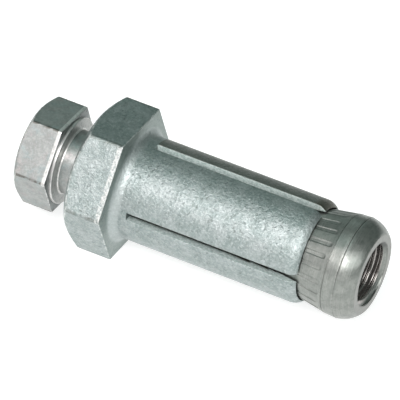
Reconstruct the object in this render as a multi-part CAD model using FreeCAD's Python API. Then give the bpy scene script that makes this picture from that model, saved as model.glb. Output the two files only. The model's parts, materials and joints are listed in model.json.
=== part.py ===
"""Expansion anchor for hollow walls and sections, M16 size, millimetres.

The axis lies along X. The origin is on the axis, in the bearing face of the hexagonal collar, which
rests on the wall round the hole. +X runs into the wall, towards the nose of the cone nut, and +Z is up,
square to one pair of the collar's flats. The anchor stands as it is pushed into the hole: the bolt head
stands off the collar and the cone nut is just inside the tips of the sleeve's legs.
"""
import FreeCAD, Part
import math
import os

# Driving dimensions
THREAD_D = 16.0            # nominal thread
THREAD_PITCH = 2.0
BARREL_D = 25.75           # sleeve, for a 26 mm hole
COLLAR_AF = 33.0           # hexagon across flats
HEAD_AF = 23.2             # bolt head across flats, for a 24 mm spanner
HEAD_TURN_DEG = -2.0       # where the head rests, from a pair of flats square to Z
RUN_IN = 5.9               # gap between the bolt's washer face and the collar
SLEEVE_L = 48.6            # collar's bearing face to the tips of the legs
NOSE_X = 62.9              # end face of the cone nut
TAPER_DEG = 10.0           # half angle of the cone and of the seats inside the legs

# Worked out from them
BARREL_R = BARREL_D / 2
THREAD_R = THREAD_D / 2
PITCH_LINE = 0.325                              # crest to pitch line, in pitches
PITCH_R = THREAD_R - PITCH_LINE * THREAD_PITCH  # the thread stands in as a cylinder of this radius
RUNNING_GAP = 0.05                              # radial, shank in ring and thread in nut
BORE_GAP = 0.5                                  # radial, thread in sleeve
SLEEVE_BORE_R = THREAD_R + BORE_GAP
COLLAR_T = 0.68 * THREAD_D
HEX_CHAMFER = math.tan(math.radians(30))        # rise of a hexagon's chamfer along the axis
CHAMFER_FACE = 0.95                             # flat end face against the width across flats
COLLAR_FILLET = 2.5
OVERRUN = 1.0                                   # a cutting or joined solid runs this far past a face

HEAD_T = 0.58 * THREAD_D
WASHER_FACE_T = 0.7
WASHER_FACE_R = 0.47 * HEAD_AF
FACE_GAP = 0.02                                 # washer face to head
BOLT_L = 70.0                                   # under the washer face
THREADED_L = 38.0                               # the rest is plain shank at the full diameter
BOLT_POINT = 1.0                                # chamfer at the bolt's end

SLOT_W = 2.0
SLOT_X = 4.2                                    # the legs start here
LEG_COUNT = 4
LEG_TIP_R = 11.6                                # inner edge of a leg's tip
TIP_ROUND_R = 3.3

CONE_INSERTED = 6.0                             # length of cone inside the legs
TAPER_END_BACK = 7.7                            # from the nose back to the end of the taper
TAPER_END_R = 12.4
WIDEST_BACK = 5.4
WIDEST_R = 12.6
SHOULDER_BACK = 4.4                             # the round of the nose starts here
SHOULDER_R = 12.5
BULGE_BACK = 1.7                                # middle of the round
BULGE_R = 11.5
NOSE_R = 10.0
MOUTH_GAP = 0.15                                # radial, thread in the nut's mouth
NUT_MOUTH_R = THREAD_R + MOUTH_GAP

AXIS_START = FreeCAD.Vector(0, 0, 0)
AXIS_DIR = FreeCAD.Vector(1, 0, 0)


def save(shape, node):
    """Write one node, and say how large it is."""
    assert shape.isValid(), node
    shape.exportStep("parts/%s.step" % node)
    print("%-18s %8.1f mm3" % (node, shape.Volume))


def at(x, r):
    """A point of a profile: x along the axis, r away from it."""
    return FreeCAD.Vector(x, 0, r)


def turned(edges):
    """Solid of revolution about X from a closed chain of profile edges."""
    face = Part.Face(Part.Wire(edges))
    return face.revolve(AXIS_START, AXIS_DIR, 360)


def chain(points):
    """Straight profile edges through points, closed back to the first."""
    pairs = zip(points, points[1:] + points[:1])
    return [Part.LineSegment(at(*a), at(*b)).toShape() for a, b in pairs]


def rod(x0, x1, radius):
    return turned(chain([(x0, 0), (x0, radius), (x1, radius), (x1, 0)]))


def tube(x0, x1, outer_r, inner_r):
    return turned(chain([(x0, inner_r), (x0, outer_r), (x1, outer_r), (x1, inner_r)]))


def hexagon(x0, x1, across_flats):
    """Hexagonal prism along X with a pair of flats square to Z."""
    corner_r = across_flats / math.sqrt(3)
    angles = [math.radians(60 * k) for k in range(6)]
    corners = [FreeCAD.Vector(x0, corner_r * math.cos(a), corner_r * math.sin(a)) for a in angles]
    face = Part.Face(Part.makePolygon(corners + corners[:1]))
    return face.extrude(FreeCAD.Vector(x1 - x0, 0, 0))


def chamfered_hexagon(x0, x1, across_flats):
    """Hexagonal prism whose end at x0 is chamfered at 30 degrees all round."""
    face_r = CHAMFER_FACE * across_flats / 2
    far_r = across_flats                        # well outside the corners
    rise = (far_r - face_r) * HEX_CHAMFER
    points = [(x0, 0), (x0, face_r), (x0 + rise, far_r), (x0 + rise + x1 - x0, far_r),
              (x0 + rise + x1 - x0, 0)]
    return hexagon(x0, x1, across_flats).common(turned(chain(points)))


def collar():
    """Hexagonal collar with the unslotted neck of the sleeve and the fillet between them."""
    hexagonal = chamfered_hexagon(-COLLAR_T, 0, COLLAR_AF)
    neck = tube(0, SLOT_X, BARREL_R, SLEEVE_BORE_R)
    bend = COLLAR_FILLET * (1 - math.sqrt(0.5))
    start = at(0, BARREL_R + COLLAR_FILLET)
    middle = at(bend, BARREL_R + bend)
    end = at(COLLAR_FILLET, BARREL_R)
    corner = at(0, BARREL_R)
    fillet = turned([Part.Arc(start, middle, end).toShape(),
                     Part.LineSegment(end, corner).toShape(),
                     Part.LineSegment(corner, start).toShape()])
    bore = rod(-COLLAR_T - OVERRUN, OVERRUN, SLEEVE_BORE_R)
    return hexagonal.cut(bore).fuse([neck, fillet]).removeSplitter()


def slotted_tube():
    """Sleeve beyond the neck: rounded tip, tapered seat for the cone, and slots through both walls."""
    drop = BARREL_R - LEG_TIP_R
    reach = math.sqrt(2 * TIP_ROUND_R * drop - drop ** 2)
    half_turn = math.asin(reach / TIP_ROUND_R) / 2
    round_start = at(SLEEVE_L - reach, BARREL_R)
    round_middle = at(SLEEVE_L - reach + TIP_ROUND_R * math.sin(half_turn),
                      BARREL_R - TIP_ROUND_R * (1 - math.cos(half_turn)))
    tip = at(SLEEVE_L, LEG_TIP_R)
    seat_l = (LEG_TIP_R - SLEEVE_BORE_R) / math.tan(math.radians(TAPER_DEG))
    seat_end = at(SLEEVE_L - seat_l, SLEEVE_BORE_R)
    root_in = at(SLOT_X, SLEEVE_BORE_R)
    root_out = at(SLOT_X, BARREL_R)
    body = turned([Part.LineSegment(root_out, round_start).toShape(),
                   Part.Arc(round_start, round_middle, tip).toShape(),
                   Part.LineSegment(tip, seat_end).toShape(),
                   Part.LineSegment(seat_end, root_in).toShape(),
                   Part.LineSegment(root_in, root_out).toShape()])
    size = 2 * BARREL_D
    for turn in (0, 90):
        slot = Part.makeBox(size, SLOT_W, size, FreeCAD.Vector(0, -SLOT_W / 2, -size / 2))
        slot.rotate(AXIS_START, AXIS_DIR, turn)
        body = body.cut(slot)
    return body


def legs():
    """The sleeve's legs, in order of their angle about X from +Y towards +Z."""
    def angle(solid):
        centre = solid.CenterOfMass
        return math.atan2(centre.z, centre.y) % (2 * math.pi)
    solids = sorted(slotted_tube().Solids, key=angle)
    assert len(solids) == LEG_COUNT
    return solids


def cone_nut():
    """Cone nut: taper, widest band, rounded nose, and a bore at the thread's pitch radius."""
    back_x = SLEEVE_L - CONE_INSERTED
    taper_l = NOSE_X - TAPER_END_BACK - back_x
    back_r = TAPER_END_R - taper_l * math.tan(math.radians(TAPER_DEG))
    bore_r = PITCH_R + RUNNING_GAP
    shoulder = at(NOSE_X - SHOULDER_BACK, SHOULDER_R)
    bulge = at(NOSE_X - BULGE_BACK, BULGE_R)
    nose = at(NOSE_X, NOSE_R)
    mouth = at(NOSE_X, NUT_MOUTH_R)
    points = [mouth, at(NOSE_X - (NUT_MOUTH_R - bore_r), bore_r), at(back_x, bore_r), at(back_x, back_r),
              at(NOSE_X - TAPER_END_BACK, TAPER_END_R), at(NOSE_X - WIDEST_BACK, WIDEST_R), shoulder]
    edges = [Part.LineSegment(a, b).toShape() for a, b in zip(points, points[1:])]
    edges.append(Part.Arc(shoulder, bulge, nose).toShape())
    edges.append(Part.LineSegment(nose, mouth).toShape())
    return turned(edges)


def washer_face_ring():
    """Raised bearing ring of the bolt head. It advances with the bolt, which turns in it."""
    face_x = -COLLAR_T - RUN_IN
    return tube(face_x - WASHER_FACE_T, face_x, WASHER_FACE_R, THREAD_R + RUNNING_GAP)


def bolt():
    """Hexagon head and shank. The threaded length is a cylinder at the thread's pitch radius."""
    face_x = -COLLAR_T - RUN_IN
    head_x = face_x - WASHER_FACE_T - FACE_GAP
    end_x = face_x + BOLT_L
    head = chamfered_hexagon(head_x - HEAD_T, head_x, HEAD_AF)
    head.rotate(AXIS_START, AXIS_DIR, HEAD_TURN_DEG)
    root_x = head_x - OVERRUN
    thread_x = end_x - THREADED_L
    shank = turned(chain([(root_x, 0), (root_x, THREAD_R), (thread_x, THREAD_R), (thread_x, PITCH_R),
                          (end_x - BOLT_POINT, PITCH_R), (end_x, PITCH_R - BOLT_POINT), (end_x, 0)]))
    return head.fuse(shank).removeSplitter()


def main():
    os.makedirs("parts", exist_ok=True)
    save(collar(), "collar")
    for number, leg in enumerate(legs(), start=1):
        save(leg, "leg_%d" % number)
    save(cone_nut(), "cone_nut")
    save(washer_face_ring(), "washer_face_ring")
    save(bolt(), "bolt")


main()
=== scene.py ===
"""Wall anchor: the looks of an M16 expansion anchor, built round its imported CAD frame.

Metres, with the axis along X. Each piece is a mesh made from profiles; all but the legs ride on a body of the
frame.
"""

import json
import math

import bmesh
import bpy
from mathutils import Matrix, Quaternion, Vector


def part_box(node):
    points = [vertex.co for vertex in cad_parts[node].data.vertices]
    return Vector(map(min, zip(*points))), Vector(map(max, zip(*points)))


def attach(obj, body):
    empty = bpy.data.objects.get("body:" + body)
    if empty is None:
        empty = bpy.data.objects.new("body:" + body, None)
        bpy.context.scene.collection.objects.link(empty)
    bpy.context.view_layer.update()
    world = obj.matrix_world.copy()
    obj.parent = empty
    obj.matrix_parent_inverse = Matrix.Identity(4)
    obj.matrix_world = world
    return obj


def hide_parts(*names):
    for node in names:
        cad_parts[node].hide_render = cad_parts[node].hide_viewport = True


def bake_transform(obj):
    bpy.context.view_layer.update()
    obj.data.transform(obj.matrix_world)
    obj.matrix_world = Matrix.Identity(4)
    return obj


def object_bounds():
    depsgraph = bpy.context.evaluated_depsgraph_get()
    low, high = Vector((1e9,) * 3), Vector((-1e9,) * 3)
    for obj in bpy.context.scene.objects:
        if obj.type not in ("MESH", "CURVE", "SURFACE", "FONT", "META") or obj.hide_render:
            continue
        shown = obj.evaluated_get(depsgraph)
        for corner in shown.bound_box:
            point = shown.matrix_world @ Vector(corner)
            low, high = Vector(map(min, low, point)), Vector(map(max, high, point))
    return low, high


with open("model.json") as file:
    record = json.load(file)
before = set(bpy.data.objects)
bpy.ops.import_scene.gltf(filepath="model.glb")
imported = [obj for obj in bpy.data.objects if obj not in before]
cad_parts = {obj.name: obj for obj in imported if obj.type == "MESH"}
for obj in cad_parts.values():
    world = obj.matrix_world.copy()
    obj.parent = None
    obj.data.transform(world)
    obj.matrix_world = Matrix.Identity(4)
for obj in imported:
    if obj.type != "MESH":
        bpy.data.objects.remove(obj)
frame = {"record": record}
cad_low, cad_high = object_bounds()

MM = 0.001
TAU = 2 * math.pi

# Sizes that the frame gives
mounts = {mount["name"]: mount for mount in frame["record"]["mounts"]}
BARREL_R = mounts["barrel"]["dims"]["r_mm"] * MM
COLLAR_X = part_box("collar")[0].x
COLLAR_AF = 2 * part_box("collar")[1].z
SLOT_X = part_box("collar")[1].x
TIP_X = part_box("leg_1")[1].x
NUT_BACK_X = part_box("cone_nut")[0].x
NOSE_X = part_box("cone_nut")[1].x
NUT_WIDEST_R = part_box("cone_nut")[1].z
RING_X0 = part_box("washer_face_ring")[0].x
RING_X1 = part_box("washer_face_ring")[1].x
RING_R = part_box("washer_face_ring")[1].z
HEAD_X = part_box("bolt")[0].x
BOLT_END_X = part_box("bolt")[1].x
HEAD_TURN = math.radians(-2)
HEAD_AF = 2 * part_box("bolt")[1].z * math.cos(TAU / 12) / math.cos(TAU / 12 + HEAD_TURN)

# Sizes of the design that a box doesn't show
THREAD_R = 8.0 * MM
THREAD_PITCH = 2.0 * MM
THREAD_ROOT_R = 6.80 * MM
THREAD_CLEARANCE = 0.12 * MM
THREAD_ROWS = 10                        # of points along the bolt's thread, per pitch
BORE_ROWS = 100                         # along the nut's whole bore
SHANK_R = THREAD_R
THREADED_L = 38 * MM
BOLT_END_R = 6.5 * MM
BOLT_POINT = 1.4 * MM
SLEEVE_BORE_R = 8.5 * MM
COLLAR_FILLET = 2.5 * MM
SLOT_W = 2.0 * MM
TIP_INNER_R = 11.6 * MM
TIP_ROUND_R = 3.3 * MM
TIP_EDGE = 0.15 * MM
TIP_DROP = BARREL_R - TIP_INNER_R - TIP_EDGE
TIP_REACH = math.sqrt(2 * TIP_ROUND_R * TIP_DROP - TIP_DROP ** 2)
TAPER = math.tan(math.radians(10))
CHAMFER = math.tan(math.radians(30))
CHAMFER_FACE = 0.95
NOSE_R = 10.0 * MM
NUT_MOUTH_R = 8.15 * MM
TAPER_END_X = NOSE_X - 7.7 * MM
TAPER_END_R = 12.4 * MM
BAND_END_X = NOSE_X - 4.62 * MM         # the second turned line lies between these two
SHOULDER_X = NOSE_X - 4.3 * MM
NOSE_EDGE = 0.16 * MM
MOUTH_CHAMFER = 1.0 * MM

RING_FILLET = 0.4 * MM
UNDER_HEAD_GAP = 0.02 * MM
LIT_STRIP_W = 0.9 * MM                     # strip along an edge that is painted bright, a painted highlight

KNURL_COUNT = 24
KNURL_HALF_W = 0.62 * MM
KNURL_WALL = 0.16 * MM
KNURL_DEPTH = 0.16 * MM
KNURL_END_X = NOSE_X - 8.6 * MM
LEG_COUNT = 4
LEG_BEVEL = 0.16 * MM
SAWN_EDGE = 0.03 * MM                   # a point this near a slot's wall is on it
SLOT_SHADOW_R = 10.8 * MM                      # nearer the axis than this, the slots to the sides get painted shadow

CORNER_WEAR = 0.15
LEG_WEAR = 0.3
HEX_INNER = 0.51                        # of the width across flats: only the corners reach further out

FLOOR_GLOW = 0.71
NEUTRAL = (1.0, 1.0, 1.0)
WARM = (1.0, 0.945, 0.955)
GREENISH = (0.80, 1.0, 0.95)


# Profiles in the plane of the axis: lists of (x, r, edge), where edge is 1 on a worn edge

def line_points(a, b, divisions):
    """Points from a up to but not including b, closer together near both ends."""
    steps = [(1 - math.cos(math.pi * k / divisions)) / 2 for k in range(divisions)]
    return [(a[0] + (b[0] - a[0]) * t, a[1] + (b[1] - a[1]) * t, 0.0) for t in steps]


def corner_points(before, corner, after, radius, steps):
    """Arc that rounds a corner, from before's side to after's side; unworn if radius is negative."""
    wear = 1.0 if radius > 0 else 0.0
    radius = abs(radius)
    c = Vector(corner)
    u = (Vector(before) - c).normalized()
    v = (Vector(after) - c).normalized()
    half = u.angle(v) / 2
    centre = c + (u + v).normalized() * (radius / math.sin(half))
    start = c + u * (radius / math.tan(half)) - centre
    end = c + v * (radius / math.tan(half)) - centre
    turn = start.angle(end)
    points = []
    for k in range(steps + 1):
        t = k / steps
        p = centre + (start * math.sin((1 - t) * turn) + end * math.sin(t * turn)) / math.sin(turn)
        points.append((p.x, p.y, wear * math.sin(math.pi * t)))
    return points


def arc_points(start, middle, end, steps):
    """Points of the arc through three places, both ends included."""
    (ax, ay), (bx, by), (cx, cy) = start, middle, end
    d = 2 * (ax * (by - cy) + bx * (cy - ay) + cx * (ay - by))
    a2, b2, c2 = ax * ax + ay * ay, bx * bx + by * by, cx * cx + cy * cy
    ux = (a2 * (by - cy) + b2 * (cy - ay) + c2 * (ay - by)) / d
    uy = (a2 * (cx - bx) + b2 * (ax - cx) + c2 * (bx - ax)) / d
    radius = math.hypot(ax - ux, ay - uy)
    first, last = math.atan2(ay - uy, ax - ux), math.atan2(cy - uy, cx - ux)
    turns = [first + (last - first) * k / steps for k in range(steps + 1)]
    return [(ux + radius * math.cos(turn), uy + radius * math.sin(turn), 0.0) for turn in turns]


def profile(corners, closed, steps=6):
    """Meridian through corners (x, r, radius, divisions of the run after it), rounded at each radius."""
    count = len(corners)
    runs = []
    for i, (x, r, radius, _) in enumerate(corners):
        inner = closed or 0 < i < count - 1
        if radius and inner:
            before = corners[i - 1][:2]
            after = corners[(i + 1) % count][:2]
            runs.append(corner_points(before, (x, r), after, radius, steps))
        else:
            runs.append([(x, r, 0.0)])
    points = []
    for i, run in enumerate(runs):
        points += run[:-1]
        last = run[-1]
        if i + 1 < count or closed:
            following = runs[(i + 1) % count][0]
            filled = line_points(last, following, max(corners[i][3], 1))
            points.append(last)
            points += filled[1:]
        else:
            points.append(last)
    return points


# Hexagons

def hexagon_r(angle, across_flats, corner_r):
    """Distance from the axis to a hexagon with rounded corners, flats square to Z."""
    apothem = across_flats / 2
    off = (angle + TAU / 12) % (TAU / 6) - TAU / 12
    centre = (apothem - corner_r) / math.cos(TAU / 12)
    tangent = math.atan2(corner_r * 0.5, centre + corner_r * math.cos(TAU / 12))
    if abs(off) < tangent:
        return centre * math.cos(off) + math.sqrt(corner_r ** 2 - (centre * math.sin(off)) ** 2)
    return apothem / math.cos(TAU / 12 - abs(off))


def hexagon_angles(corner_share, corner_steps, flat_steps):
    """Angles round the axis, dense at a hexagon's corners: (angle, wear of the corner)."""
    angles = []
    half = TAU / 12 * corner_share
    for k in range(6):
        middle = k * TAU / 6
        for i in range(corner_steps):
            t = i / corner_steps
            angles.append((middle - half + 2 * half * t, CORNER_WEAR * math.sin(math.pi * t)))
        for i in range(flat_steps):
            t = (1 - math.cos(math.pi * i / flat_steps)) / 2
            angles.append((middle + half + (TAU / 6 - 2 * half) * t, 0.0))
    return angles


def round_angles(count):
    return [(k * TAU / count, 0.0) for k in range(count)]


# Meshes

def finish_mesh(name, points, edges_worn, faces):
    """Object from points, smooth, with the wear of its edges as a vertex attribute."""
    mesh = bpy.data.meshes.new(name)
    mesh.from_pydata(points, [], faces)
    worn = mesh.attributes.new("worn", "FLOAT", "POINT")
    worn.data.foreach_set("value", edges_worn)
    bm = bmesh.new()
    bm.from_mesh(mesh)
    bmesh.ops.remove_doubles(bm, verts=bm.verts, dist=0.001 * MM)
    bmesh.ops.recalc_face_normals(bm, faces=bm.faces)
    bm.to_mesh(mesh)
    bm.free()
    mesh.shade_smooth()
    mesh.set_sharp_from_angle(angle=math.radians(42))
    piece = bpy.data.objects.new(name, mesh)
    bpy.context.scene.collection.objects.link(piece)
    return piece


def paint(piece, name, share):
    """Vertex attribute that says how much of a finish each point has, from its place."""
    layer = piece.data.attributes.new(name, "FLOAT", "POINT")
    layer.data.foreach_set("value", [float(share(v.co)) for v in piece.data.vertices])


def soften(piece, inside):
    """Keeps every edge smooth where inside is true, so that a thread shades evenly."""
    soft = [inside(v.co) for v in piece.data.vertices]
    for edge in piece.data.edges:
        if soft[edge.vertices[0]] and soft[edge.vertices[1]]:
            edge.use_edge_sharp = False


def lathe(name, meridian_at, angles, closed):
    """Surface through one meridian for each angle, all with the same number of points."""
    points, worn = [], []
    for angle, corner in angles:
        meridian = meridian_at(angle)
        for x, r, edge in meridian:
            points.append((x, r * math.cos(angle), r * math.sin(angle)))
            worn.append(max(edge, corner if edge >= 0 else 0.0))
    rows, columns = len(angles), len(meridian)
    faces = []
    for i in range(rows):
        for j in range(columns if closed else columns - 1):
            k = (j + 1) % columns
            n = (i + 1) % rows
            faces.append((i * columns + j, i * columns + k, n * columns + k, n * columns + j))
    return finish_mesh(name, points, worn, faces)


def loft(name, loops):
    """Surface through closed loops of (x, y, z, edge), closed by a face at each end."""
    points = [p[:3] for loop in loops for p in loop]
    worn = [p[3] for loop in loops for p in loop]
    count = len(loops[0])
    faces = []
    for i in range(len(loops) - 1):
        for j in range(count):
            k = (j + 1) % count
            faces.append((i * count + j, i * count + k, (i + 1) * count + k, (i + 1) * count + j))
    faces.append(tuple(range(count)))
    last = (len(loops) - 1) * count
    faces.append(tuple(range(last + count - 1, last - 1, -1)))
    return finish_mesh(name, points, worn, faces)


def without_corners(meridian, radius):
    """The same meridian, where points nearer the axis than radius take no wear from a hexagon's corners."""
    return [(x, r, edge if edge > 0 or r > radius else -1.0) for x, r, edge in meridian]


def collar_meridian(angle):
    side_r = hexagon_r(angle, COLLAR_AF, 0.6 * MM)
    face_r = CHAMFER_FACE * COLLAR_AF / 2
    bore_r = SLEEVE_BORE_R
    points = profile([
        (COLLAR_X, bore_r, 0.6 * MM, 14),
        (COLLAR_X, face_r, -1.2 * MM, 6),
        (COLLAR_X + (side_r - face_r) * CHAMFER, side_r, 0.8 * MM, 16),
        (-0.1 * MM - LIT_STRIP_W, side_r, 0, 5),
        (0, side_r, 0.28 * MM, 10),
        (0, BARREL_R, -COLLAR_FILLET, 4),
        (SLOT_X, BARREL_R, 0, 8),
        (SLOT_X, bore_r, 0, 8)], closed=True)
    return without_corners(points, HEX_INNER * COLLAR_AF)


def make_collar():
    piece = lathe("sleeve_collar", collar_meridian, hexagon_angles(0.12, 8, 28), closed=True)
    flat_r = COLLAR_AF / 2
    fillet_r = BARREL_R + 0.6 * COLLAR_FILLET

    def on_face(p):
        return p.x > -0.05 * MM

    # Painted highlight along the side faces' edge next to the end face, on the upper side faces only
    def on_lit_strip(p):
        return (-0.2 * MM - LIT_STRIP_W < p.x < -0.01 * MM and -0.6 * MM < p.z < flat_r - 0.3 * MM
                and p.yz.length > flat_r - 0.1 * MM)
    # Painted shade on the flat of the end face, a darker tone for the shadowed floor it reflects
    paint(piece, "painted_shade", lambda p: on_face(p) and p.yz.length > fillet_r)
    # Painted highlight, a lighter tone over the fillet and end face
    paint(piece, "painted_sheen", lambda p: on_face(p) and BARREL_R + 0.05 * MM < p.yz.length < flat_r - 0.4 * MM)
    # Painted highlight on that strip
    paint(piece, "painted_light", on_lit_strip)
    return piece


def leg_outer_r(x):
    """Outside of a leg: round along the barrel, then an arc in to the tip."""
    past = max(0.0, x - (TIP_X - TIP_REACH))
    return BARREL_R - TIP_ROUND_R + math.sqrt(TIP_ROUND_R ** 2 - past ** 2)


def leg_inner_r(x):
    """Inside of a leg: the sleeve's bore, then the seat for the cone."""
    return max(SLEEVE_BORE_R, TIP_INNER_R - (TIP_X - x) * TAPER)


def bend(a, corner, b, steps=4):
    """Small round from a to b that leans towards the corner, in polar (r, angle) places."""
    points = []
    for k in range(steps + 1):
        t = k / steps
        weights = ((1 - t) ** 2, 2 * t * (1 - t), t ** 2)
        r, angle = (sum(w * p[i] for w, p in zip(weights, (a, corner, b))) for i in (0, 1))
        points.append((r, angle, LEG_WEAR * math.sin(math.pi * t)))
    return points


def leg_section(outer, inner):
    """Closed section of a leg as (r, angle from its middle, worn), between parallel slot walls."""
    bevel = min(LEG_BEVEL, (outer - inner) * 0.35)
    outer_steps, wall_steps, inner_steps = 22, 5, 12

    def wall(r):
        return TAU / 8 - math.asin(SLOT_W / 2 / r)

    outer_half = wall(outer) - bevel / outer
    inner_half = wall(inner) - bevel / inner
    half = [(outer, outer_half * k / outer_steps, 0.0) for k in range(outer_steps)]
    half += bend((outer, outer_half), (outer, wall(outer)), (outer - bevel, wall(outer - bevel)))
    for k in range(1, wall_steps):
        r = outer - bevel + (inner - outer + 2 * bevel) * k / wall_steps
        half.append((r, wall(r), 0.0))
    half += bend((inner + bevel, wall(inner + bevel)), (inner, wall(inner)), (inner, inner_half))
    half += [(inner, inner_half * (1 - k / inner_steps), 0.0) for k in range(1, inner_steps + 1)]
    return half + [(r, -angle, worn) for r, angle, worn in reversed(half[1:-1])]


def facing_z(p):
    """Whether a point is on a slot wall that faces up or down."""
    return abs(abs(p.z) - SLOT_W / 2) < SAWN_EDGE


def sawn_and_painted_wall_light(p):
    """Bright sawn metal on the slot walls, with painted light: less of it on the walls that face up or down,
    none deep in them, and a little less towards the tip.
    """
    if abs(abs(p.y) - SLOT_W / 2) < SAWN_EDGE:
        return 0.82 - 0.12 * p.x / TIP_X
    return 0.62 if facing_z(p) and p.yz.length > SLOT_SHADOW_R else 0.0


def slot_shadow(p):
    """Painted shadow deep in the slots to the sides."""
    return 1.0 if facing_z(p) and p.yz.length <= SLOT_SHADOW_R else 0.0


def painted_leg_shade(p):
    """Painted shade, a dark reflection, along the upper edge of one leg, deepest at its tip."""
    depth = 1.0 if p.x > TIP_X - TIP_REACH else 0.65
    return depth * min(1.0, max(0.0, (10 * MM - p.y) / (3 * MM)))


def make_leg(number, middle):
    straight = TIP_X - TIP_REACH - SLOT_X
    steps, tip_steps = 44, 14
    stations = [SLOT_X + straight * k / steps for k in range(steps + 1)]
    turn = math.asin(TIP_REACH / TIP_ROUND_R)
    for k in range(1, tip_steps + 1):
        stations.append(TIP_X - TIP_REACH + TIP_ROUND_R * math.sin(turn * k / tip_steps))
    loops = []
    for x in stations:
        section = leg_section(leg_outer_r(x), leg_inner_r(x))
        loops.append([(x, r * math.cos(middle + angle), r * math.sin(middle + angle), worn)
                      for r, angle, worn in section])
    piece = loft("sleeve_leg_%d" % number, loops)
    # Painted shade: shadow deep in the side slots, and on leg 1 a dark reflection along its upper edge
    paint(piece, "painted_leg_shade", lambda p: max(slot_shadow(p), painted_leg_shade(p) if number == 1 else 0.0))
    paint(piece, "sawn_and_painted_wall_light", sawn_and_painted_wall_light)
    return piece


def thread(x, angle):
    """Height of the thread's flank, 0 at the root and 1 at the crest; right-handed along X."""
    phase = (x / THREAD_PITCH - angle / TAU) % 1
    wave = 1 - abs(2 * phase - 1)
    return min(1.0, max(0.0, (wave - 0.14) / 0.72))


def thread_r(x, angle):
    return THREAD_ROOT_R + (THREAD_R - THREAD_ROOT_R) * thread(x, angle)


def knurl_depth(x, angle):
    """Depth of the knurl: shallow grooves with steep walls and round ends, pressed a little unevenly."""
    cell = angle * KNURL_COUNT / TAU
    number = math.floor(cell)
    across = (cell - number - 0.5 - 0.05 * math.sin(2.4 * number)) * TAU / KNURL_COUNT * TAPER_END_R
    end_x = KNURL_END_X + 0.35 * MM * math.sin(1.7 * number + 1) - KNURL_HALF_W
    distance = math.hypot(across, max(0.0, x - end_x))
    inside = min(1.0, max(0.0, (KNURL_HALF_W - distance) / KNURL_WALL))
    return KNURL_DEPTH * inside


def knurl_angles():
    """Angles round the nut, dense where the grooves have their walls."""
    places = (0.0, 0.1, 0.2, 0.245, 0.28, 0.305, 0.33, 0.355, 0.38, 0.44,
              0.5, 0.56, 0.62, 0.645, 0.67, 0.695, 0.72, 0.755, 0.8, 0.9)
    return [((number + place) * TAU / KNURL_COUNT, 0.0) for number in range(KNURL_COUNT) for place in places]


def nut_meridian(angle):
    back_r = TAPER_END_R - (TAPER_END_X - NUT_BACK_X) * TAPER
    outside = profile([
        (NUT_BACK_X, NUT_MOUTH_R, 0, 3),
        (NUT_BACK_X, back_r, 0.5 * MM, 48),
        (TAPER_END_X, TAPER_END_R, 0, 1),
        (TAPER_END_X + 0.06 * MM, TAPER_END_R - 0.10 * MM, 0, 1),
        (TAPER_END_X + 0.16 * MM, TAPER_END_R - 0.10 * MM, 0, 1),
        (TAPER_END_X + 0.26 * MM, TAPER_END_R + 0.04 * MM, 0, 4),
        (BAND_END_X, NUT_WIDEST_R, 0.2 * MM, 1),
        (BAND_END_X + 0.10 * MM, NUT_WIDEST_R - 0.14 * MM, 0, 1),
        (BAND_END_X + 0.24 * MM, NUT_WIDEST_R - 0.14 * MM, 0, 1)], closed=False)
    outside = outside[:-1] + arc_points((SHOULDER_X, NUT_WIDEST_R - 0.10 * MM),
                                        (NOSE_X - 1.7 * MM, 11.5 * MM),
                                        (NOSE_X - NOSE_EDGE, NOSE_R + NOSE_EDGE), 18)
    outside += profile([
        (NOSE_X - 0.08 * MM, NOSE_R + 0.04 * MM, 0, 1),
        (NOSE_X, NOSE_R - 0.10 * MM, 0, 7),
        (NOSE_X, NUT_MOUTH_R, 0, 1)], closed=False)
    outside = [(x, r - (knurl_depth(x, angle) if NUT_BACK_X + MM < x < TAPER_END_X - 0.1 * MM else 0.0), e)
               for x, r, e in outside]
    bore = []
    for k in range(BORE_ROWS + 1):
        x = NOSE_X + (NUT_BACK_X - NOSE_X) * k / BORE_ROWS
        r = thread_r(x, angle) + THREAD_CLEARANCE
        mouth = NUT_MOUTH_R - (NOSE_X - x)
        bore.append((x, max(r, mouth), -1.0))
    return outside[:-1] + bore[:-1]


def crevice_shade(p):
    """Painted shade along the walls of the knurl's grooves (less towards the top), in the turned lines (the
    second darker towards the top), and in the upper half of the bore.
    """
    if TAPER_END_X + 0.01 * MM < p.x < TAPER_END_X + 0.2 * MM:
        return 0.2
    if BAND_END_X + 0.02 * MM < p.x < SHOULDER_X - 0.02 * MM:
        return min(1.0, max(0.1, p.z / (6 * MM)))
    if p.yz.length < NUT_MOUTH_R:
        return min(1.2, max(0.0, (p.z - 0.5 * MM) / (4 * MM)))
    if p.x > TAPER_END_X - 0.1 * MM or p.yz.length < THREAD_R + MM:
        return 0.0
    sunk = knurl_depth(p.x, math.atan2(p.z, p.y) % TAU) / KNURL_DEPTH
    return 3.4 * sunk * (1 - sunk) * min(1.0, max(0.15, (5 * MM - p.z) / (6 * MM)))


def make_nut():
    piece = lathe("cone_nut_knurled", nut_meridian, knurl_angles(), closed=True)
    soften(piece, lambda p: NUT_BACK_X < p.x < NOSE_X - MOUTH_CHAMFER and p.yz.length < NUT_MOUTH_R)
    paint(piece, "inside", lambda p: NOSE_X - p.x > MOUTH_CHAMFER and p.yz.length < NUT_MOUTH_R)
    paint(piece, "end_face", lambda p: p.x > NOSE_X - 0.02 * MM)
    paint(piece, "nose", lambda p: 0.3 * (p.x > SHOULDER_X - 0.1 * MM))
    # Painted shade in the knurl's grooves, the turned lines and the upper bore
    paint(piece, "painted_crevice_shade", crevice_shade)
    return piece


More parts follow.
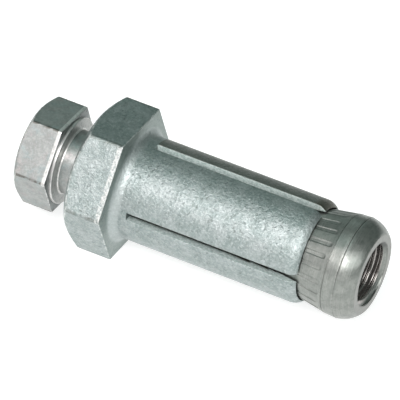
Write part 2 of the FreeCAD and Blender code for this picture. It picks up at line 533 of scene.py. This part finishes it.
def make_ring():
    """Washer face, with the fillet that leads from it to the shank."""
    bore_r = SHANK_R + 0.02 * MM
    foot_r = SHANK_R + 0.06 * MM
    foot_x = RING_X1 + RING_FILLET + 0.04 * MM

    def meridian(angle):
        return profile([(RING_X0, bore_r, 0, 8), (RING_X0, RING_R, 0, 3), (RING_X1, RING_R, 0.25 * MM, 10),
                        (RING_X1, foot_r, -RING_FILLET, 2), (foot_x, foot_r, 0, 1), (foot_x, bore_r, 0, 6)],
                       closed=True)
    piece = lathe("bolt_washer_face", meridian, round_angles(128), closed=True)
    # Painted light: a highlight on the fillet, and the rest of the washer face lightened against the collar's
    # shade
    paint(piece, "painted_light", lambda p: 1.0 if p.yz.length < foot_r + 0.8 * RING_FILLET else 0.7)
    return piece


def bolt_meridian(angle):
    side_r = hexagon_r(angle - HEAD_TURN, HEAD_AF, 0.5 * MM)
    face_r = CHAMFER_FACE * HEAD_AF / 2
    under_x = RING_X0 - UNDER_HEAD_GAP
    thread_x = BOLT_END_X - THREADED_L
    head = profile([
        (HEAD_X, 0, 0, 14),
        (HEAD_X, face_r, -0.9 * MM, 5),
        (HEAD_X + (side_r - face_r) * CHAMFER, side_r, 0.5 * MM, 14),
        (under_x - 0.1 * MM - LIT_STRIP_W, side_r, 0, 4),
        (under_x, side_r, 0.3 * MM, 8),
        (under_x, SHANK_R, 0, 1),
        (thread_x, SHANK_R, 0, 1)], closed=False)
    point_x = BOLT_END_X - BOLT_POINT
    shank = []
    count = int(round((BOLT_END_X - thread_x) / THREAD_PITCH * THREAD_ROWS))
    for k in range(1, count):
        x = thread_x + (BOLT_END_X - thread_x) * k / count
        start = min(1.0, (x - thread_x) / (1.5 * THREAD_PITCH))
        r = SHANK_R + (thread_r(x, angle) - SHANK_R) * start
        shank.append((x, min(r, THREAD_R - (x - point_x)), -1.0))
    end = [(BOLT_END_X, r, 0.0) for r in (BOLT_END_R, 3 * MM, 0)]
    return without_corners(head + shank + end, HEX_INNER * HEAD_AF)


def make_bolt():
    angles = [(angle + HEAD_TURN, worn) for angle, worn in hexagon_angles(0.12, 8, 18)]
    piece = lathe("hex_bolt", bolt_meridian, angles, closed=False)
    under_x = RING_X0 - 0.1 * MM
    # Painted shade on the head's underside, a darker tone for the dark collar and shadow it reflects
    paint(piece, "painted_shade", lambda p: under_x < p.x < RING_X0 and p.yz.length > SHANK_R + 0.1 * MM)
    strip_x = under_x - LIT_STRIP_W
    # Painted light on the plain shank, and a painted highlight on the head's side strip next to the
    # underside, above the middle
    paint(piece, "painted_light", lambda p: 1.0 if RING_X0 < p.x < BOLT_END_X - THREADED_L else
          0.65 * (p.yz.length > RING_R and strip_x < p.x < under_x and p.z > -0.4 * MM))
    return piece


# Materials

class Shader:
    """A node material, with short ways to add nodes and join them."""

    def __init__(self, name):
        self.material = bpy.data.materials.new(name)
        self.material.use_nodes = True
        self.tree = self.material.node_tree
        self.surface = self.tree.nodes["Principled BSDF"]
        self.place = self.add("ShaderNodeTexCoord").outputs["Object"]

    def add(self, kind, inputs=None, **settings):
        node = self.tree.nodes.new(kind)
        for key, value in settings.items():
            setattr(node, key, value)
        for key, value in (inputs or {}).items():
            self.put(node.inputs[key], value)
        return node

    def put(self, socket, value):
        if isinstance(value, bpy.types.NodeSocket):
            self.tree.links.new(value, socket)
        else:
            socket.default_value = value

    def stretched(self, scale):
        return self.add("ShaderNodeMapping", {"Vector": self.place, "Scale": scale}).outputs["Vector"]

    def noise(self, size, detail=3.0, roughness=0.55, vector=None, distortion=0.0):
        """Noise whose features are about size metres across."""
        return self.add("ShaderNodeTexNoise", {
            "Vector": vector or self.place, "Scale": 1 / size, "Detail": detail,
            "Roughness": roughness, "Distortion": distortion}).outputs["Fac"]

    def spread(self, value, low, high, to_low=0.0, to_high=1.0):
        return self.add("ShaderNodeMapRange", {
            "Value": value, "From Min": low, "From Max": high, "To Min": to_low, "To Max": to_high},
            interpolation_type="SMOOTHSTEP").outputs["Result"]

    def maths(self, operation, a, b):
        return self.add("ShaderNodeMath", {0: a, 1: b}, operation=operation).outputs[0]

    def mix(self, share, a, b):
        node = self.add("ShaderNodeMix", data_type="RGBA")
        self.put(node.inputs["Factor"], share)
        self.put(node.inputs[6], a if isinstance(a, bpy.types.NodeSocket) else (*a, 1))
        self.put(node.inputs[7], b if isinstance(b, bpy.types.NodeSocket) else (*b, 1))
        return node.outputs[2]

    def painted(self, name):
        return self.add("ShaderNodeAttribute", attribute_name=name).outputs["Fac"]

    def bump(self, height, distance, strength, normal=None):
        inputs = {"Height": height, "Distance": distance, "Strength": strength}
        if normal is not None:
            inputs["Normal"] = normal
        return self.add("ShaderNodeBump", inputs).outputs["Normal"]

    def wear(self):
        """Worn edges, broken up by noise."""
        broken = self.spread(self.noise(1.2 * MM, 4), 0.35, 0.65)
        return self.maths("MULTIPLY", self.spread(self.painted("worn"), 0.1, 0.9), broken)

    def corner_dirt(self, strength):
        """Thin broken line of dirt along a hexagon's corners, which have the least wear."""
        worn = self.painted("worn")
        line = self.maths("MULTIPLY", self.spread(worn, 0.09, 0.14), self.spread(worn, 0.16, 0.3, 1.0, 0.0))
        broken = self.spread(self.noise(1.6 * MM, 3), 0.38, 0.55, 0.1, strength)
        return self.maths("MULTIPLY", line, broken)


def galvanised():
    """Forged sleeve and collar: zinc, green-grey, finely speckled and pitted."""
    s = Shader("galvanised_zinc")
    mottle = s.spread(s.noise(3.5 * MM, 3, 0.6), 0.35, 0.68)
    grain = s.noise(0.6 * MM, 4, 0.7)
    pits = s.spread(s.noise(0.9 * MM, 2, 0.5, distortion=0.6), 0.61, 0.70)
    colour = s.mix(mottle, (0.285, 0.335, 0.325), (0.38, 0.42, 0.415))
    blotch = s.noise(1.5 * MM, 3, 0.6, distortion=0.3)
    colour = s.mix(s.spread(blotch, 0.32, 0.48, 0.35, 0.0), colour, (0.20, 0.24, 0.22))
    colour = s.mix(s.spread(grain, 0.50, 0.66, 0.0, 0.38), colour, (0.62, 0.66, 0.67))
    colour = s.mix(s.spread(grain, 0.34, 0.48, 0.38, 0.0), colour, (0.19, 0.22, 0.22))
    colour = s.mix(s.maths("MULTIPLY", pits, 0.4), colour, (0.12, 0.14, 0.13))
    colour = s.mix(s.maths("MULTIPLY", s.wear(), 0.8), colour, (0.80, 0.82, 0.80))
    colour = s.mix(s.corner_dirt(0.4), colour, (0.12, 0.12, 0.10))
    # Painted highlight: a lighter tone over the fillet and end face
    colour = s.mix(s.maths("MULTIPLY", s.painted("painted_sheen"), 0.55), colour, (0.47, 0.51, 0.505))
    # Painted shade: a darker tone where the end face reflects shadow
    colour = s.mix(s.maths("MULTIPLY", s.painted("painted_shade"), 0.6), colour, (0.24, 0.29, 0.27))
    # Painted shade: shadow deep in the side slots and a dark reflection on one leg's upper edge
    colour = s.mix(s.maths("MULTIPLY", s.painted("painted_leg_shade"), 0.8), colour, (0.11, 0.095, 0.065))
    # Painted highlight and painted light, broken up by noise
    painted_light = s.spread(s.noise(0.7 * MM, 3), 0.38, 0.56)
    colour = s.mix(s.maths("MULTIPLY", s.painted("painted_light"), painted_light), colour, (0.58, 0.59, 0.575))
    # Sawn metal on the slot walls, partly painted light: walls facing the sides lighter than those facing up
    # or down
    sawn_and_painted_wall_light = s.mix(s.spread(grain, 0.38, 0.60), (0.49, 0.60, 0.575), (0.75, 0.84, 0.815))
    colour = s.mix(s.painted("sawn_and_painted_wall_light"), colour, sawn_and_painted_wall_light)
    s.put(s.surface.inputs["Base Color"], colour)
    s.put(s.surface.inputs["Metallic"], s.spread(s.painted("sawn_and_painted_wall_light"), 0.0, 1.0, 0.97, 0.1))
    s.put(s.surface.inputs["Roughness"], s.spread(s.noise(1.1 * MM, 4), 0.3, 0.7, 0.40, 0.52))
    low = s.bump(s.noise(3.0 * MM, 2), 0.08 * MM, 0.5)
    coarse = s.bump(s.noise(1.2 * MM, 3, 0.6), 0.10 * MM, 0.8, low)
    fine = s.bump(grain, 0.12 * MM, 1.0, coarse)
    s.put(s.surface.inputs["Normal"], s.bump(pits, -0.05 * MM, 0.6, fine))
    return s.material


def machined():
    """Cone nut: turned steel under thin zinc, warmer grey, with fine rings from the tool."""
    s = Shader("turned_steel")
    rings = s.noise(0.3 * MM, 3, 0.65, vector=s.stretched((1, 0.05, 0.05)))
    cloud = s.spread(s.noise(2.5 * MM, 4), 0.35, 0.65)
    grain = s.noise(0.6 * MM, 3, 0.6)
    colour = s.mix(cloud, (0.22, 0.235, 0.22), (0.285, 0.30, 0.28))
    colour = s.mix(s.spread(rings, 0.45, 0.7, 0.0, 0.35), colour, (0.42, 0.42, 0.40))
    colour = s.mix(s.spread(grain, 0.32, 0.5, 0.35, 0.0), colour, (0.15, 0.16, 0.15))
    colour = s.mix(s.maths("MULTIPLY", s.wear(), 0.3), colour, (0.60, 0.60, 0.58))
    colour = s.mix(s.painted("end_face"), colour, (0.25, 0.255, 0.24))
    colour = s.mix(s.painted("inside"), colour, (0.36, 0.34, 0.325))
    # Painted shade: a dark tone in the grooves, turned lines and upper bore
    colour = s.mix(s.maths("MULTIPLY", s.painted("painted_crevice_shade"), 0.7), colour, (0.06, 0.065, 0.06))
    s.put(s.surface.inputs["Base Color"], colour)
    s.surface.inputs["Metallic"].default_value = 0.9
    patchy = s.spread(s.noise(1.4 * MM, 4), 0.3, 0.7, 0.0, 0.10)
    turned = s.spread(s.maths("MAXIMUM", s.painted("inside"), s.painted("nose")), 0.0, 1.0, 0.34, 0.18)
    s.put(s.surface.inputs["Roughness"], s.maths("ADD", patchy, turned))
    low = s.bump(s.noise(3 * MM, 2), 0.08 * MM, s.spread(s.painted("inside"), 0.0, 1.0, 0.5, 0.0))
    scratches = s.noise(0.5 * MM, 3, 0.6, vector=s.stretched((1, 0.35, 0.35)))
    scratched = s.bump(scratches, 0.04 * MM, s.spread(s.painted("inside"), 0.0, 1.0, 0.6, 0.1), low)
    turning = s.bump(rings, 0.05 * MM, s.spread(s.painted("inside"), 0.0, 1.0, 0.7, 0.0), scratched)
    s.put(s.surface.inputs["Normal"], turning)
    return s.material


def plated():
    """Bolt: bright zinc plate over a cold-forged head."""
    s = Shader("bright_zinc")
    cloud = s.spread(s.noise(2.8 * MM, 4, 0.6), 0.35, 0.68)
    grain = s.noise(0.6 * MM, 4, 0.65)
    colour = s.mix(cloud, (0.285, 0.30, 0.29), (0.35, 0.365, 0.355))
    tint = s.noise(2.2 * MM, 3, 0.6, distortion=0.4)
    colour = s.mix(s.spread(tint, 0.50, 0.72, 0.0, 0.35), colour, (0.30, 0.40, 0.41))
    colour = s.mix(s.spread(tint, 0.28, 0.46, 0.35, 0.0), colour, (0.44, 0.37, 0.37))
    colour = s.mix(s.spread(grain, 0.46, 0.66, 0.0, 0.3), colour, (0.50, 0.51, 0.51))
    colour = s.mix(s.spread(grain, 0.32, 0.48, 0.25, 0.0), colour, (0.22, 0.24, 0.23))
    colour = s.mix(s.maths("MULTIPLY", s.wear(), 0.8), colour, (0.84, 0.84, 0.82))
    colour = s.mix(s.corner_dirt(0.75), colour, (0.10, 0.09, 0.075))
    # Painted light on the shank and washer face, and a painted highlight on the head's strip, broken up by
    # noise
    patchy = s.spread(s.noise(0.8 * MM, 3), 0.32, 0.52, 0.5, 1.0)
    colour = s.mix(s.maths("MULTIPLY", s.painted("painted_light"), patchy), colour, (0.76, 0.75, 0.73))
    # Painted shade: a darker tone on the head's underside
    colour = s.mix(s.maths("MULTIPLY", s.painted("painted_shade"), 0.3), colour, (0.15, 0.18, 0.19))
    s.put(s.surface.inputs["Base Color"], colour)
    s.surface.inputs["Metallic"].default_value = 0.95
    s.put(s.surface.inputs["Roughness"], s.spread(s.noise(1.3 * MM, 4), 0.3, 0.7, 0.34, 0.46))
    low = s.bump(s.noise(3.5 * MM, 2), 0.10 * MM, 0.5)
    s.put(s.surface.inputs["Normal"], s.bump(grain, 0.03 * MM, 0.7, low))
    return s.material


def paper():
    """Plain pale floor, lit a little from below like a light table."""
    s = Shader("pale_floor")
    s.surface.inputs["Base Color"].default_value = (0.55, 0.55, 0.55, 1)
    s.surface.inputs["Roughness"].default_value = 0.9
    s.surface.inputs["Emission Color"].default_value = (1, 1, 1, 1)
    s.surface.inputs["Emission Strength"].default_value = FLOOR_GLOW
    return s.material


# Camera, lights and floor

def direction(azimuth, elevation):
    a, e = math.radians(azimuth), math.radians(elevation)
    return Vector((math.sin(a) * math.cos(e), -math.cos(a) * math.cos(e), math.sin(e)))


def make_camera():
    data = bpy.data.cameras.new("camera")
    data.sensor_width = 36
    data.lens = 540
    back = direction(22.56, 35.44)
    target = Vector((16.55, 1.24, 1.61)) * MM
    camera = bpy.data.objects.new("camera", data)
    camera.location = target + back * 1419.1 * MM
    camera.rotation_mode = "QUATERNION"
    roll = Quaternion((0, 0, 1), math.radians(7.17))
    camera.rotation_quaternion = (-back).to_track_quat("-Z", "Y") @ roll
    bpy.context.scene.collection.objects.link(camera)
    bpy.context.scene.camera = camera


def make_light(name, azimuth, elevation, distance, size, radiance, colour):
    """Soft panel that faces the object, as bright as radiance all over."""
    data = bpy.data.lights.new(name, "AREA")
    data.shape = "RECTANGLE"
    data.size, data.size_y = size
    data.energy = radiance * math.pi * size[0] * size[1]
    data.color = colour
    light = bpy.data.objects.new(name, data)
    back = direction(azimuth, elevation)
    light.location = (cad_low + cad_high) / 2 + back * distance
    light.rotation_euler = back.to_track_quat("Z", "Y").to_euler()
    light.visible_camera = False
    bpy.context.scene.collection.objects.link(light)


def make_stage():
    mesh = bpy.data.meshes.new("floor")
    size, z = 3.0, cad_low.z - 0.2 * MM
    mesh.from_pydata([(-size, -size, z), (size, -size, z), (size, size, z), (-size, size, z)], [],
                     [(0, 1, 2, 3)])
    floor = bpy.data.objects.new("floor", mesh)
    floor.data.materials.append(paper())
    bpy.context.scene.collection.objects.link(floor)
    world = bpy.data.worlds.new("studio")
    world.use_nodes = True
    world.node_tree.nodes["Background"].inputs["Color"].default_value = (0.76, 1.0, 0.93, 1)
    world.node_tree.nodes["Background"].inputs["Strength"].default_value = 0.16
    bpy.context.scene.world = world
    make_light("front_wall", -12, 24, 1.1, (2.6, 1.2), 0.88, WARM)
    make_light("key", -8, 46, 0.9, (0.46, 0.42), 5.2, WARM)
    make_light("fill_right", 24, 42, 0.9, (0.6, 0.36), 4.7, NEUTRAL)
    make_light("key_right", 64, 32, 0.9, (0.66, 0.36), 2.7, NEUTRAL)
    make_light("top", -60, 74, 1.0, (0.6, 0.5), 1.05, GREENISH)
    make_light("back_left", -157, 37, 1.0, (0.6, 0.4), 0.46, GREENISH)


def main():
    make_camera()
    zinc, steel, bright = galvanised(), machined(), plated()
    dressed = [(make_collar(), "collar", ["collar"], zinc, "sleeve_zinc"),
               (make_nut(), "cone_nut", ["cone_nut"], steel, "nut_steel"),
               (make_ring(), "bolt_carrier", ["washer_face_ring"], bright, "bolt_zinc"),
               (make_bolt(), "bolt", ["bolt"], bright, "bolt_zinc")]
    for piece, body, nodes, material, slot in dressed:
        piece.data.materials.append(material)
        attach(piece, body)
        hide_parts(*nodes)
    for number in range(1, LEG_COUNT + 1):
        node = "leg_%d" % number
        leg = make_leg(number, (number - 0.5) * TAU / LEG_COUNT)
        leg.data.materials.append(zinc)
        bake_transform(leg)
        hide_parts(node)
    make_stage()
    bpy.context.scene.view_settings.view_transform = "Standard"


main()
